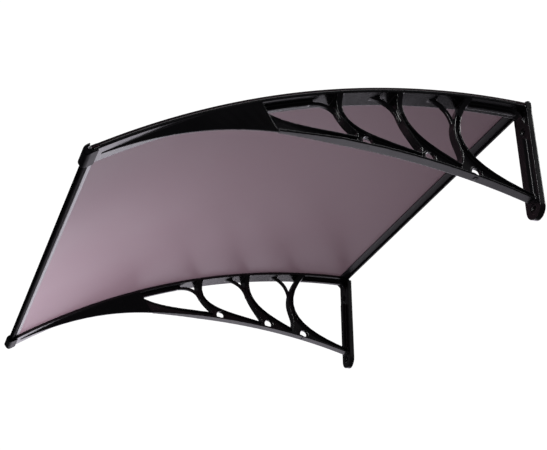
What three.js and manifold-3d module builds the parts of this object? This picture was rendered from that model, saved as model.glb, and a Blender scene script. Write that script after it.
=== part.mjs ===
// Polycarbonate door canopy: an arched tinted sheet on two moulded wall brackets,
// with an extruded bar along its front edge and another along the wall.
// Millimetres, +Z up. The wall is the plane y = 0, the canopy reaches out along -Y,
// x = 0 is the middle of its width and z = 0 is mid-height on the rear bar's back.
import * as THREE from 'three';
import { mergeVertices } from 'three/addons/utils/BufferGeometryUtils.js';
import Module from 'manifold-3d';

const wasm = await Module();
wasm.setup();

// Roof sheet
const BRACKET_SPACING = 832;
const ROOF_RADIUS = 1486;
const ROOF_SLOPE_AT_WALL = 1.76;
const SHEET_THICKNESS = 3;
const SHEET_PROJECTION = 838;

// Clearances
const SEAT_GAP = 0.3;
const EDGE_GAP = 0.5;
const SCREW_GAP = 0.3;
const INSIDE_JOIN = 2;
const OVERSHOOT = 1;

// Rear bar, hooked over the brackets against the wall
const REAR_BACK_HEIGHT = 4.5;
const REAR_BAR_HEIGHT = 14;
const REAR_BAR_DEPTH = 12;
const REAR_LIP_REACH = 20;
const REAR_LEAF = 2.6;
const BAR_LIP = 2.2;
const SEAL_SLOT_WIDTH = 3.4;
const SEAL_SLOT_DEPTH = 2;
const SEAL_HEIGHT = 5;
const SEAL_DEPTH = 9;

// Front bar, along the lower edge
const FRONT_LIP_REACH = 13;
const NOSE_RADIUS = 5;

// Bracket flanges and wall plate
const FLANGE_WIDTH = 46;
const FLANGE_THICKNESS = 6;
const PLATE_WIDTH = 46;
const PLATE_THICKNESS = 12;
const PLATE_BOTTOM = 247;
const TONGUE_WIDTH = 22;
const WALL_HOLE_RADIUS = 4.5;
const WALL_HOLE_SINK_RADIUS = 8.5;
const WALL_HOLE_SINK_DEPTH = 3;
const UPPER_WALL_HOLE_DROP = 57;
const SPINE_WIDTH = 14;
const SPINE_DEPTH = 8;
const SPINE_TOP_DROP = 75;

// Bracket lattice, across the canopy
const LATTICE_DEPTH = 20;
const WEB_DEPTH = 6.4;
const THIN_RIB_DEPTH = 8;
const RIM_WIDTH = 3.4;
const RIB_HEIGHT = 8;
const BRANCH_WIDTH = 6.5;
const CHORD_FLANGE_THICKNESS = 4;
const CHORD_FLANGE_WIDTH = 22;
const CHORD_FLANGE_WIDTH_AT_TAIL = 9;
const ROOT_HOLE_RADIUS = 9.5;
const ROOT_COLLAR_WIDTH = 3;
const ROOT_COLLAR_DEPTH = 9;

// Bracket tail, the solid front third
const TAIL_EDGE_WIDTH = 4;
const TAIL_TIP_WIDTH = 14;
const TAIL_FULL_WIDTH_FROM_TIP = 137;

// Lattice outline in the bracket's plane, drawn in shares:
// [of the way from the wall plate to the sheet's front edge, of the wall plate's drop below the roof]
const TAIL_HEEL = drawn([0.613, 0.25]);
const TAIL_TIP = drawn([0.975, 0.036]);
const TAIL_REAR_TOP = drawn([0.661, 0])[0];
const CHORD_NARROWS_FROM = drawn([0.47, 0])[0];
const CHORD_BOTTOM = [drawn([0, 0.834]), drawn([0.203, 0.635]), drawn([0.421, 0.458]), TAIL_HEEL];
const TAIL_BOTTOM = [TAIL_HEEL, drawn([0.712, 0.15]), drawn([0.821, 0.062]), TAIL_TIP];
const FRONT_WINDOW_SILL = [[0.649, 0.062], [0.597, 0.201], [0.53, 0.287], [0.438, 0.372]].map(drawn);
const STRUTS = [
  {
    root: drawn([0.409, 0.405]),
    right: [[0.47, 0], [0.487, 0.271], [0.403, 0.376], [0.283, 0.522]].map(drawn),
    left: [[0.485, 0], [0.494, 0.14], [0.46, 0.271], [0.438, 0.348]].map(drawn),
    branch: [[0.472, 0.21], [0.489, 0.049], [0.554, 0.043]].map(drawn),
  },
  {
    root: drawn([0.257, 0.538]),
    right: [[0.324, 0], [0.329, 0.287], [0.276, 0.421], [0.183, 0.599]].map(drawn),
    left: [[0.34, 0], [0.339, 0.228], [0.305, 0.36], [0.283, 0.482]].map(drawn),
    branch: [[0.326, 0.245], [0.337, 0.07], [0.404, 0.008]].map(drawn),
  },
  {
    root: drawn([0.142, 0.652]),
    right: [[0.138, 0], [0.232, 0.376], [0.145, 0.635], [0, 0.789]].map(drawn),
    left: [[0.155, 0], [0.228, 0.303], [0.177, 0.425], [0.179, 0.542]].map(drawn),
    branch: [[0.189, 0.271], [0.195, 0.066], [0.254, 0.008]].map(drawn),
  },
];
const GUSSET_REACH = 50;
const GUSSET_DROP = 48;
const FLARE_DROP = 36;
const FLARE_LEVELS = [0.15, 0.35, 0.6, 1];

// Screws and washers
const SCREW_RADIUS = 2;
const SCREW_HEAD_RADIUS = 4.6;
const SCREW_HEAD_HEIGHT = 3;
const WASHER_RADIUS = 7.5;
const WASHER_THICKNESS = 2;
const SHEET_SCREW_COUNT = 4;
const FIRST_SHEET_SCREW_FROM_WALL = 110;
const LAST_SHEET_SCREW_FROM_FRONT = 118;
const CAP_SCREW_RADIUS = 1.4;
const CAP_SCREW_HEAD_RADIUS = 2.6;
const CAP_SCREW_HEAD_HEIGHT = 2;
const CAP_SCREW_LENGTH = 16;

// Shares of a screw's or washer's own size
const DRIVE_SHARE = 0.4;
const POINT_SHARE = 0.4;
const HEAD_EDGE_SHARE = 0.4;
const CROWN_RADIUS_SHARE = 0.75;
const CROWN_HEIGHT_SHARE = 0.85;
const WASHER_EDGE_SHARE = 0.5;
const WASHER_TOP_SHARE = 0.8;

// Bar end caps
const FRONT_CAP_LENGTH = 46;
const FRONT_CAP_END = 5;
const FRONT_CAP_NOSE = 13.5;
const FRONT_CAP_ROUND = 8.5;
const FRONT_CAP_WALL = 2.5;
const FRONT_CAP_CORNER = 14;
const FRONT_CAP_TOP_REACH = 1.2;
const FRONT_CAP_BOTTOM_REACH = 8;
const REAR_CAP_THICKNESS = 3;
const SPIGOT_GAP = 2;

// Curve fineness
const ROOF_STEPS = 40;
const CURVE_STEPS = 12;
const ROUND_STEPS = 20;
const SCREW_STEPS = 14;
const FINE_STEPS = 200;
const MITRE_LIMIT = 0.6;

// Values that follow from the sizes above
const WIDTH = BRACKET_SPACING + FLANGE_WIDTH;
const SHEET_SETBACK = REAR_BAR_DEPTH + 2 * EDGE_GAP;
const REAR_TOP = REAR_BACK_HEIGHT / 2;
const REAR_LEAF_BOTTOM = REAR_TOP - REAR_BAR_HEIGHT;
const ROOF_HEIGHT_AT_WALL = REAR_TOP - BAR_LIP - SEAT_GAP - SHEET_THICKNESS - EDGE_GAP;
const ROOF_CENTRE = new THREE.Vector2(
  ROOF_RADIUS * Math.sin(THREE.MathUtils.degToRad(ROOF_SLOPE_AT_WALL)),
  ROOF_HEIGHT_AT_WALL - ROOF_RADIUS * Math.cos(THREE.MathUtils.degToRad(ROOF_SLOPE_AT_WALL)),
);
const FLANGE_TOP = SEAT_GAP;
const FLANGE_BOTTOM = FLANGE_TOP + FLANGE_THICKNESS;
const HIDDEN_DEPTH = FLANGE_BOTTOM - INSIDE_JOIN;
const SHEET_TOP = SHEET_THICKNESS;
const FRONT_ANGLE = roofAngle(SHEET_PROJECTION);
const THROUGH_BRACKET = 2 * FLANGE_WIDTH;
const UNDER_ALL = -2 * PLATE_BOTTOM;

// Materials
const bracketPlastic = new THREE.MeshStandardMaterial({ color: 0x101012, roughness: 0.3, metalness: 0 });
const barAluminium = new THREE.MeshStandardMaterial({ color: 0x1b1b1e, roughness: 0.38, metalness: 0.6 });
const capPlastic = new THREE.MeshStandardMaterial({ color: 0x121214, roughness: 0.42, metalness: 0 });
const tintedSheet = new THREE.MeshStandardMaterial({
  color: 0x6b5860, roughness: 0.15, metalness: 0, transparent: true, opacity: 0.85,
});
const sealRubber = new THREE.MeshStandardMaterial({ color: 0x0d0d0d, roughness: 0.9, metalness: 0 });
const screwSteel = new THREE.MeshStandardMaterial({ color: 0x9a9c9f, roughness: 0.35, metalness: 1 });

// Roof geometry: an arc about an axis along X

function roofAngle(fromWall) {
  return Math.asin((ROOF_CENTRE.x + fromWall) / ROOF_RADIUS);
}

function roofHeight(fromWall, offset = 0) {
  return ROOF_CENTRE.y + Math.sqrt((ROOF_RADIUS + offset) ** 2 - (ROOF_CENTRE.x + fromWall) ** 2);
}

// Distance from the wall and depth below the roof of a point drawn in shares
function drawn([along, down]) {
  return [THREE.MathUtils.lerp(PLATE_THICKNESS, SHEET_PROJECTION, along), down * PLATE_BOTTOM];
}

// Point of the bracket's plane at a distance from the wall and a depth below the roof
function below([fromWall, depth]) {
  return new THREE.Vector2(-fromWall, roofHeight(fromWall) - depth);
}

function roofArc(fromWallStart, fromWallEnd, offset, steps = ROOF_STEPS) {
  const points = [];
  for (let i = 0; i <= steps; i += 1) {
    const fromWall = THREE.MathUtils.lerp(fromWallStart, fromWallEnd, i / steps);
    points.push(new THREE.Vector2(-fromWall, roofHeight(fromWall, offset)));
  }
  return points;
}

function curveBelow(controls, steps = CURVE_STEPS) {
  const points = controls.map(([fromWall, depth]) => new THREE.Vector2(fromWall, depth));
  const curve = points.length === 4
    ? new THREE.CubicBezierCurve(...points)
    : new THREE.QuadraticBezierCurve(...points);
  return curve.getPoints(steps).map((point) => below([point.x, point.y]));
}

// Plane shapes

function offsetLine(points, distance) {
  return points.map((point, i) => {
    const before = points[Math.max(i - 1, 0)];
    const after = points[Math.min(i + 1, points.length - 1)];
    const along = after.clone().sub(before).normalize();
    return new THREE.Vector2(point.x - along.y * distance, point.y + along.x * distance);
  });
}

function grownOutline(points, distance) {
  const turned = THREE.ShapeUtils.isClockWise(points) ? points.slice().reverse() : points;
  const count = turned.length;
  return turned.map((point, i) => {
    const toPoint = point.clone().sub(turned[(i + count - 1) % count]).normalize();
    const fromPoint = turned[(i + 1) % count].clone().sub(point).normalize();
    const normalIn = new THREE.Vector2(toPoint.y, -toPoint.x);
    const normalOut = new THREE.Vector2(fromPoint.y, -fromPoint.x);
    const mitre = normalIn.add(normalOut).normalize();
    const spread = Math.max(mitre.dot(normalOut), MITRE_LIMIT);
    return point.clone().addScaledVector(mitre, distance / spread);
  });
}

function ribbon(centreLine, width) {
  const upper = offsetLine(centreLine, width / 2);
  const lower = offsetLine(centreLine, -width / 2);
  return [...upper, ...lower.reverse()];
}

function circlePoints(centre, radius, steps = ROUND_STEPS) {
  const points = [];
  for (let i = 0; i < steps; i += 1) {
    const angle = (i / steps) * Math.PI * 2;
    points.push(new THREE.Vector2(radius * Math.cos(angle), radius * Math.sin(angle)).add(centre));
  }
  return points;
}

function box2(lowX, lowY, highX, highY) {
  return [[lowX, lowY], [highX, lowY], [highX, highY], [lowX, highY]]
    .map(([x, y]) => new THREE.Vector2(x, y));
}

// Solids

function toSolid(geometry) {
  const plain = geometry.index ? geometry.toNonIndexed() : geometry.clone();
  plain.deleteAttribute('normal');
  plain.deleteAttribute('uv');
  const merged = mergeVertices(plain);
  return new wasm.Manifold(new wasm.Mesh({
    numProp: 3,
    vertProperties: Float32Array.from(merged.attributes.position.array),
    triVerts: Uint32Array.from(merged.index.array),
  }));
}

function toGeometry(solid) {
  const mesh = solid.getMesh();
  const geometry = new THREE.BufferGeometry();
  geometry.setAttribute('position', new THREE.BufferAttribute(Float32Array.from(mesh.vertProperties), 3));
  geometry.setIndex(new THREE.BufferAttribute(Uint32Array.from(mesh.triVerts), 1));
  geometry.computeVertexNormals();
  return geometry;
}

function join(...solids) {
  return solids.reduce((whole, solid) => whole.add(solid));
}

function extruded(outline, depth, holes = []) {
  const shape = new THREE.Shape(outline);
  shape.holes = holes.map((hole) => new THREE.Path(hole));
  return new THREE.ExtrudeGeometry(shape, { depth, bevelEnabled: false });
}

// Outline drawn in (y, z), carried along X between two planes
function alongX(outline, startX, endX, holes = []) {
  const geometry = extruded(outline, endX - startX, holes);
  geometry.applyMatrix4(new THREE.Matrix4().makeBasis(
    new THREE.Vector3(0, 1, 0), new THREE.Vector3(0, 0, 1), new THREE.Vector3(1, 0, 0),
  ));
  geometry.translate(startX, 0, 0);
  return geometry;
}

// Outline drawn in (x, y), carried along Z between two heights
function alongZ(outline, startZ, endZ) {
  const geometry = extruded(outline, endZ - startZ);
  geometry.translate(0, 0, startZ);
  return geometry;
}

// Outline drawn in (x, z), carried along -Y between two distances from the wall
function alongWallNormal(outline, startFromWall, endFromWall) {
  const geometry = extruded(outline, endFromWall - startFromWall);
  geometry.applyMatrix4(new THREE.Matrix4().makeBasis(
    new THREE.Vector3(1, 0, 0), new THREE.Vector3(0, 0, 1), new THREE.Vector3(0, -1, 0),
  ));
  geometry.translate(0, -startFromWall, 0);
  return geometry;
}

function slab(outline, depth, holes = []) {
  return toSolid(alongX(outline, -depth / 2, depth / 2, holes));
}

// Solid through a row of four-cornered sections
function loft(sections) {
  const corners = 4;
  const positions = sections.flat().flatMap((point) => [point.x, point.y, point.z]);
  const index = [];
  for (let s = 0; s < sections.length - 1; s += 1) {
    for (let c = 0; c < corners; c += 1) {
      const a = s * corners + c;
      const b = s * corners + (c + 1) % corners;
      index.push(a, b, b + corners, a, b + corners, a + corners);
    }
  }
  const last = (sections.length - 1) * corners;
  index.push(0, 2, 1, 0, 3, 2);
  index.push(last, last + 1, last + 2, last, last + 2, last + 3);
  const geometry = new THREE.BufferGeometry();
  geometry.setAttribute('position', new THREE.Float32BufferAttribute(positions, 3));
  geometry.setIndex(index);
  return geometry;
}

// Bar sections: (y, z) for the rear bar, (up the slope, off the sheet) for the front bar

const REAR_SLOT_END = REAR_BAR_DEPTH + EDGE_GAP;
const REAR_LIP_END = REAR_BAR_DEPTH + REAR_LIP_REACH;
const SEAL_SLOT_CENTRE = -REAR_BAR_DEPTH / 2;
const LIP_INNER = SEAT_GAP;
const LIP_OUTER = LIP_INNER + BAR_LIP;

function rearBarOutline() {
  const onArc = (fromWall, offset) => new THREE.Vector2(-fromWall, roofHeight(fromWall, offset));
  const slotLow = SEAL_SLOT_CENTRE - SEAL_SLOT_WIDTH / 2;
  const slotHigh = SEAL_SLOT_CENTRE + SEAL_SLOT_WIDTH / 2;
  return [
    new THREE.Vector2(0, -REAR_TOP),
    new THREE.Vector2(0, REAR_TOP),
    new THREE.Vector2(slotHigh, REAR_TOP),
    new THREE.Vector2(slotHigh, REAR_TOP - SEAL_SLOT_DEPTH),
    new THREE.Vector2(slotLow, REAR_TOP - SEAL_SLOT_DEPTH),
    new THREE.Vector2(slotLow, REAR_TOP),
    new THREE.Vector2(-REAR_BAR_DEPTH, REAR_TOP),
    onArc(REAR_BAR_DEPTH, SHEET_TOP + LIP_OUTER),
    onArc(REAR_LIP_END, SHEET_TOP + LIP_OUTER),
    onArc(REAR_LIP_END, SHEET_TOP + LIP_INNER),
    onArc(REAR_SLOT_END, SHEET_TOP + LIP_INNER),
    onArc(REAR_SLOT_END, -LIP_INNER),
    onArc(REAR_LIP_END, -LIP_INNER),
    onArc(REAR_LIP_END, -LIP_OUTER),
    onArc(REAR_BAR_DEPTH, -LIP_OUTER),
    new THREE.Vector2(-REAR_BAR_DEPTH, REAR_LEAF_BOTTOM),
    new THREE.Vector2(-REAR_BAR_DEPTH + REAR_LEAF, REAR_LEAF_BOTTOM),
    new THREE.Vector2(-REAR_BAR_DEPTH + REAR_LEAF, -REAR_TOP),
  ];
}

const NOSE_CENTRE = new THREE.Vector2(
  -NOSE_RADIUS + BAR_LIP - EDGE_GAP,
  SHEET_TOP + LIP_OUTER - NOSE_RADIUS,
);

function noseArc(radius, startAngle, endAngle) {
  const points = [];
  for (let i = 0; i <= ROUND_STEPS; i += 1) {
    const angle = THREE.MathUtils.lerp(startAngle, endAngle, i / ROUND_STEPS);
    points.push(new THREE.Vector2(radius * Math.cos(angle), radius * Math.sin(angle)).add(NOSE_CENTRE));
  }
  return points;
}

function frontBarOutline() {
  const lipAngle = Math.asin((-LIP_OUTER - NOSE_CENTRE.y) / NOSE_RADIUS);
  const topAngle = Math.PI / 2 - 2 * Math.PI;
  return [
    new THREE.Vector2(-EDGE_GAP, -LIP_INNER),
    new THREE.Vector2(FRONT_LIP_REACH, -LIP_INNER),
    new THREE.Vector2(FRONT_LIP_REACH, -LIP_OUTER),
    ...noseArc(NOSE_RADIUS, lipAngle, topAngle),
    new THREE.Vector2(FRONT_LIP_REACH, SHEET_TOP + LIP_OUTER),
    new THREE.Vector2(FRONT_LIP_REACH, SHEET_TOP + LIP_INNER),
    new THREE.Vector2(-EDGE_GAP, SHEET_TOP + LIP_INNER),
  ];
}

// Carries a geometry from the front edge's own frame into place
function atFrontEdge(geometry) {
  geometry.rotateX(FRONT_ANGLE);
  geometry.translate(0, -SHEET_PROJECTION, roofHeight(SHEET_PROJECTION));
  return geometry;
}

// Screws stand on the roof's normal, with z = 0 at the underside of the head

const SHEET_SCREW = {
  radius: SCREW_RADIUS,
  headRadius: SCREW_HEAD_RADIUS,
  headHeight: SCREW_HEAD_HEIGHT,
};
const CAP_SCREW = {
  radius: CAP_SCREW_RADIUS,
  headRadius: CAP_SCREW_HEAD_RADIUS,
  headHeight: CAP_SCREW_HEAD_HEIGHT,
};

function screwGeometry({ radius, headRadius, headHeight }, length) {
  const drive = headRadius * DRIVE_SHARE;
  const profile = [
    [0, -length],
    [radius * POINT_SHARE, -length],
    [radius, -length + radius],
    [radius, 0],
    [headRadius, 0],
    [headRadius, headHeight * HEAD_EDGE_SHARE],
    [headRadius * CROWN_RADIUS_SHARE, headHeight * CROWN_HEIGHT_SHARE],
    [drive, headHeight],
    [drive, headHeight / 2],
    [0, headHeight / 2],
  ].map(([x, y]) => new THREE.Vector2(x, y));
  return new THREE.LatheGeometry(profile, SCREW_STEPS).rotateX(Math.PI / 2);
}

function washerGeometry() {
  const profile = [
    [SCREW_HOLE_RADIUS, 0],
    [WASHER_RADIUS, 0],
    [WASHER_RADIUS, WASHER_THICKNESS * WASHER_EDGE_SHARE],
    [WASHER_RADIUS * WASHER_TOP_SHARE, WASHER_THICKNESS],
    [SCREW_HOLE_RADIUS, WASHER_THICKNESS],
    [SCREW_HOLE_RADIUS, 0],
  ].map(([x, y]) => new THREE.Vector2(x, y));
  return new THREE.LatheGeometry(profile, SCREW_STEPS).rotateX(Math.PI / 2);
}

function pinGeometry(radius, low, high) {
  return new THREE.CylinderGeometry(radius, radius, high - low, ROUND_STEPS)
    .rotateX(Math.PI / 2)
    .translate(0, 0, (low + high) / 2);
}

// Places a geometry drawn about Z on the roof, at an offset above the sheet's underside
function onRoof(geometry, x, fromWall, offset) {
  const angle = roofAngle(fromWall);
  geometry.translate(0, 0, offset);
  geometry.rotateX(angle);
  geometry.translate(x, -fromWall, roofHeight(fromWall));
  return geometry;
}

const SHEET_SCREWS_FROM_WALL = Array.from({ length: SHEET_SCREW_COUNT }, (_, i) => THREE.MathUtils.lerp(
  FIRST_SHEET_SCREW_FROM_WALL,
  SHEET_PROJECTION - LAST_SHEET_SCREW_FROM_FRONT,
  i / (SHEET_SCREW_COUNT - 1),
));
const REAR_SCREW_FROM_WALL = REAR_BAR_DEPTH + REAR_LIP_REACH / 2;
const FRONT_SCREW_FROM_WALL = SHEET_PROJECTION - (FRONT_LIP_REACH / 2) * Math.cos(FRONT_ANGLE);
const BAR_SCREWS_FROM_WALL = [REAR_SCREW_FROM_WALL, FRONT_SCREW_FROM_WALL];
const SHEET_HEAD_SEAT = SHEET_TOP + WASHER_THICKNESS + 2 * SEAT_GAP;
const BAR_HEAD_SEAT = SHEET_TOP + LIP_OUTER + SEAT_GAP;
const SCREW_HOLE_RADIUS = SCREW_RADIUS + SCREW_GAP;

function screwHoles(x) {
  const all = [...SHEET_SCREWS_FROM_WALL, ...BAR_SCREWS_FROM_WALL];
  const reach = FLANGE_BOTTOM + INSIDE_JOIN;
  return join(...all.map((fromWall) => {
    const hole = pinGeometry(SCREW_HOLE_RADIUS, -reach, SHEET_TOP + LIP_OUTER + INSIDE_JOIN);
    return toSolid(onRoof(hole, x, fromWall, 0));
  }));
}

// Geometry of a full-width piece with the screw holes of both brackets in it
function drilled(geometry) {
  const holes = join(screwHoles(-BRACKET_SPACING / 2), screwHoles(BRACKET_SPACING / 2));
  return toGeometry(toSolid(geometry).subtract(holes));
}

// Roof sheet

function sheetGeometry() {
  const outline = [
    ...roofArc(SHEET_SETBACK, SHEET_PROJECTION, 0),
    ...roofArc(SHEET_SETBACK, SHEET_PROJECTION, SHEET_TOP).reverse(),
  ];
  return drilled(alongX(outline, -WIDTH / 2, WIDTH / 2));
}

// Bracket: one moulding, drawn about x = 0

const PLATE_TOP = REAR_LEAF_BOTTOM - SEAT_GAP;
const LOWER_WALL_HOLE_DROP = PLATE_BOTTOM - PLATE_WIDTH / 2;

function windowOutlines() {
  const [first, second, third] = STRUTS;
  const throughFlange = (start, end) => roofArc(start, end, -HIDDEN_DEPTH, CURVE_STEPS);
  const clearOfFlange = (points) => points.filter(
    (point) => point.y < roofHeight(-point.x) - HIDDEN_DEPTH,
  );
  const between = (sill, strutLeft, fromWallFront) => {
    const lower = clearOfFlange(curveBelow(sill));
    const side = clearOfFlange(curveBelow(strutLeft)).reverse();
    return [...lower, ...side, ...throughFlange(strutLeft[0][0], fromWallFront)];
  };
  const gusset = new THREE.QuadraticBezierCurve(
    below([PLATE_THICKNESS, GUSSET_DROP]),
    below([PLATE_THICKNESS, FLANGE_BOTTOM]),
    below([GUSSET_REACH, HIDDEN_DEPTH]),
  ).getPoints(CURVE_STEPS);
  const rear = [
    ...clearOfFlange(curveBelow(third.right)),
    ...gusset,
    ...throughFlange(GUSSET_REACH, third.right[0][0]).slice(1),
  ];
  return [
    between(FRONT_WINDOW_SILL, first.left, FRONT_WINDOW_SILL[0][0]),
    between(first.right, second.left, first.right[0][0]),
    between(second.right, third.left, second.right[0][0]),
    rear,
  ];
}

function latticeOutline() {
  return [
    ...curveBelow(CHORD_BOTTOM, 2 * CURVE_STEPS),
    ...roofArc(TAIL_REAR_TOP, PLATE_THICKNESS, -HIDDEN_DEPTH),
  ];
}

// Width limit seen from above, so the lattice narrows towards the tail
function chordPlan() {
  const stations = [
    [0, CHORD_FLANGE_WIDTH],
    [CHORD_NARROWS_FROM, CHORD_FLANGE_WIDTH],
    [TAIL_HEEL[0], CHORD_FLANGE_WIDTH_AT_TAIL],
    [TAIL_REAR_TOP + INSIDE_JOIN, CHORD_FLANGE_WIDTH_AT_TAIL],
  ];
  const right = stations.map(([fromWall, width]) => new THREE.Vector2(width / 2, -fromWall));
  const left = stations.map(([fromWall, width]) => new THREE.Vector2(-width / 2, -fromWall));
  return toSolid(alongZ([...right, ...left.reverse()], UNDER_ALL, REAR_TOP));
}

function latticeSolid() {
  const outline = latticeOutline();
  const windows = windowOutlines();
  const web = slab(outline, WEB_DEPTH);
  const bottom = curveBelow(CHORD_BOTTOM, 2 * CURVE_STEPS);
  const bottomFlange = slab(
    [...bottom, ...offsetLine(bottom, -CHORD_FLANGE_THICKNESS).reverse()],
    THROUGH_BRACKET,
  );
  const rims = join(...windows.map((points) => slab(grownOutline(points, RIM_WIDTH), LATTICE_DEPTH)))
    .intersect(slab(outline, LATTICE_DEPTH));
  const cut = join(...windows.map((points) => slab(points, THROUGH_BRACKET)));
  const collars = join(...STRUTS.map((strut) => slab(
    circlePoints(below(strut.root), ROOT_HOLE_RADIUS + ROOT_COLLAR_WIDTH), ROOT_COLLAR_DEPTH,
  )));
  const holes = join(...STRUTS.map((strut) => slab(
    circlePoints(below(strut.root), ROOT_HOLE_RADIUS), THROUGH_BRACKET,
  )));
  return join(web, rims, bottomFlange, collars).intersect(chordPlan()).subtract(join(cut, holes));
}

// Thin ribs in the bracket's middle plane: the struts' front branches and two under the flange
function thinRibs() {
  const branches = STRUTS.map(
    (strut) => slab(ribbon(curveBelow(strut.branch), BRANCH_WIDTH), THIN_RIB_DEPTH),
  );
  const ribUnder = (fromWallStart, fromWallEnd) => slab([
    ...roofArc(fromWallStart, fromWallEnd, -FLANGE_TOP, CURVE_STEPS),
    ...roofArc(fromWallStart, fromWallEnd, -FLANGE_BOTTOM - RIB_HEIGHT, CURVE_STEPS).reverse(),
  ], THIN_RIB_DEPTH);
  const underFlange = slab([
    ...roofArc(0, SHEET_PROJECTION, -HIDDEN_DEPTH),
    new THREE.Vector2(-SHEET_PROJECTION, UNDER_ALL),
    new THREE.Vector2(0, UNDER_ALL),
  ], FLANGE_WIDTH);
  return join(
    ...branches,
    ribUnder(STRUTS[0].branch[2][0] - RIB_HEIGHT, TAIL_REAR_TOP + INSIDE_JOIN),
    ribUnder(PLATE_THICKNESS, STRUTS[2].left[0][0]),
  ).intersect(underFlange);
}

// Struts spread to the flange's full width where they meet it
function flare(leftLine, rightLine, drop, depth) {
  const levels = [HIDDEN_DEPTH, ...FLARE_LEVELS.map((share) => FLANGE_BOTTOM + share * drop)];
  const atDepth = (line, level) => {
    const reached = line.findIndex((point) => roofHeight(-point.x) - point.y >= level);
    return line[Math.max(reached, 0)];
  };
  const sections = levels.map((level) => {
    const share = THREE.MathUtils.clamp(1 - (level - FLANGE_BOTTOM) / drop, 0, 1);
    const half = THREE.MathUtils.lerp(depth, FLANGE_WIDTH - INSIDE_JOIN, share ** 2) / 2;
    const left = atDepth(leftLine, level);
    const right = atDepth(rightLine, level);
    return [
      new THREE.Vector3(-half, left.x, left.y),
      new THREE.Vector3(-half, right.x, right.y),
      new THREE.Vector3(half, right.x, right.y),
      new THREE.Vector3(half, left.x, left.y),
    ];
  });
  return toSolid(loft(sections));
}

function strutFlares() {
  return join(...STRUTS.map((strut) => {
    const leftLine = curveBelow(strut.left, FINE_STEPS);
    const rightLine = curveBelow(strut.right, FINE_STEPS);
    return flare(leftLine, rightLine, FLARE_DROP, LATTICE_DEPTH);
  }));
}

// Tail: a low rib at its tip that widens to the flange's width, with a narrow edge below
function tailSolid() {
  const tip = TAIL_TIP[0];
  const sections = curveBelow(TAIL_BOTTOM).map((edge, i) => {
    const fromWall = THREE.MathUtils.lerp(TAIL_REAR_TOP, tip, i / CURVE_STEPS);
    const share = Math.min((tip - fromWall) / TAIL_FULL_WIDTH_FROM_TIP, 1);
    const top = below([fromWall, HIDDEN_DEPTH]);
    const widthTop = THREE.MathUtils.lerp(TAIL_TIP_WIDTH, FLANGE_WIDTH - INSIDE_JOIN, share ** 2);
    return [
      new THREE.Vector3(widthTop / 2, top.x, top.y),
      new THREE.Vector3(-widthTop / 2, top.x, top.y),
      new THREE.Vector3(-TAIL_EDGE_WIDTH / 2, edge.x, edge.y),
      new THREE.Vector3(TAIL_EDGE_WIDTH / 2, edge.x, edge.y),
    ];
  });
  return toSolid(loft(sections));
}

function wallPlate() {
  const half = PLATE_WIDTH / 2;
  const outline = new THREE.Shape();
  outline.moveTo(half, PLATE_TOP);
  outline.lineTo(-half, PLATE_TOP);
  outline.absarc(0, -LOWER_WALL_HOLE_DROP, half, Math.PI, 2 * Math.PI, false);
  const plate = toSolid(alongWallNormal(outline.getPoints(ROUND_STEPS), 0, PLATE_THICKNESS));
  const spineBottom = -LOWER_WALL_HOLE_DROP + half;
  const spineOutline = box2(-SPINE_WIDTH / 2, spineBottom, SPINE_WIDTH / 2, -SPINE_TOP_DROP);
  const spine = toSolid(alongWallNormal(
    spineOutline, PLATE_THICKNESS - INSIDE_JOIN, PLATE_THICKNESS + SPINE_DEPTH,
  ));
  const tongue = toSolid(alongX(
    box2(-REAR_BAR_DEPTH + REAR_LEAF + SEAT_GAP, PLATE_TOP - INSIDE_JOIN, 0, -REAR_TOP - SEAT_GAP),
    -TONGUE_WIDTH / 2,
    TONGUE_WIDTH / 2,
  ));
  return join(plate, spine, tongue);
}

function wallHoles() {
  return join(...[UPPER_WALL_HOLE_DROP, LOWER_WALL_HOLE_DROP].flatMap((drop) => {
    const centre = new THREE.Vector2(0, -drop);
    const through = alongWallNormal(
      circlePoints(centre, WALL_HOLE_RADIUS),
      -OVERSHOOT,
      PLATE_THICKNESS + OVERSHOOT,
    );
    const sink = alongWallNormal(
      circlePoints(centre, WALL_HOLE_SINK_RADIUS),
      PLATE_THICKNESS - WALL_HOLE_SINK_DEPTH,
      PLATE_THICKNESS + SPINE_DEPTH,
    );
    return [toSolid(through), toSolid(sink)];
  }));
}

// Room that the two bars take out of the bracket's ends
function barSeats() {
  const reach = FLANGE_WIDTH;
  const seatDepth = LIP_OUTER + SEAT_GAP;
  const leafFront = -REAR_BAR_DEPTH - SEAT_GAP;
  const leafBack = -REAR_BAR_DEPTH + REAR_LEAF + SEAT_GAP;
  const noseBack = NOSE_CENTRE.x + NOSE_RADIUS + EDGE_GAP;
  const rearLeaf = alongX(box2(leafFront, PLATE_TOP, leafBack, reach), -reach, reach);
  const rearLip = alongX([
    ...roofArc(REAR_LIP_END + EDGE_GAP, REAR_BAR_DEPTH, -seatDepth, 2),
    new THREE.Vector2(-REAR_BAR_DEPTH, reach),
    new THREE.Vector2(-REAR_LIP_END - EDGE_GAP, reach),
  ], -reach, reach);
  const frontLip = alongX(
    box2(-reach, -seatDepth, FRONT_LIP_REACH + EDGE_GAP, reach), -reach, reach,
  );
  const frontNose = alongX(box2(-reach, -reach, noseBack, reach), -reach, reach);
  const seats = [rearLeaf, rearLip, atFrontEdge(frontLip), atFrontEdge(frontNose)];
  return join(...seats.map(toSolid));
}

function bracketSolid() {
  const flange = slab([
    ...roofArc(PLATE_THICKNESS, SHEET_PROJECTION, -FLANGE_TOP),
    ...roofArc(PLATE_THICKNESS, SHEET_PROJECTION, -FLANGE_BOTTOM).reverse(),
  ], FLANGE_WIDTH);
  const whole = join(flange, latticeSolid(), thinRibs(), strutFlares(), tailSolid(), wallPlate());
  return whole.subtract(join(barSeats(), wallHoles(), screwHoles(0)));
}

// Bars

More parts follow.
